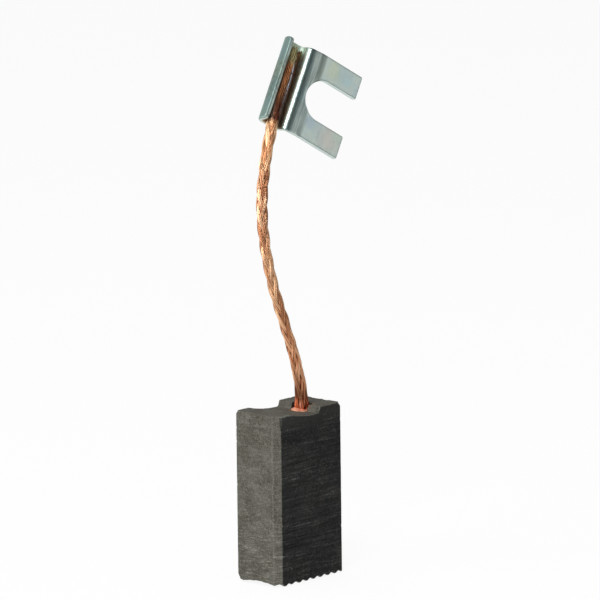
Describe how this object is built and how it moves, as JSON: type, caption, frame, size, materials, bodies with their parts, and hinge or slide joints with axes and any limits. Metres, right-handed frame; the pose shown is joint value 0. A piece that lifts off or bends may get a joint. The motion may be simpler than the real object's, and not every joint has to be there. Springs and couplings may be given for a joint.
{
  "type": "carbon brush",
  "caption": "Keyed rectangular carbon brush with a ridged, concave contact face, a tamped copper pigtail and a folded fork terminal.",
  "frame": {"origin": "middle of the block's contact end, at the height of the contact face's outer edges", "axes": "+Z along the block from the contact face to the head, +X across the block's broad face, +Y through its thickness"},
  "size_m": [0.0211, 0.0093, 0.0616],
  "materials": {
    "carbon": "satin",
    "tamped_copper": "matte",
    "copper_braid": "satin",
    "zinc_plated_steel": "satin"
  },
  "bodies": {
    "root": {"carbon_block": "carbon", "copper_plug": "tamped_copper", "pigtail": "copper_braid", "fork_terminal": "zinc_plated_steel"}
  },
  "joints": []
}
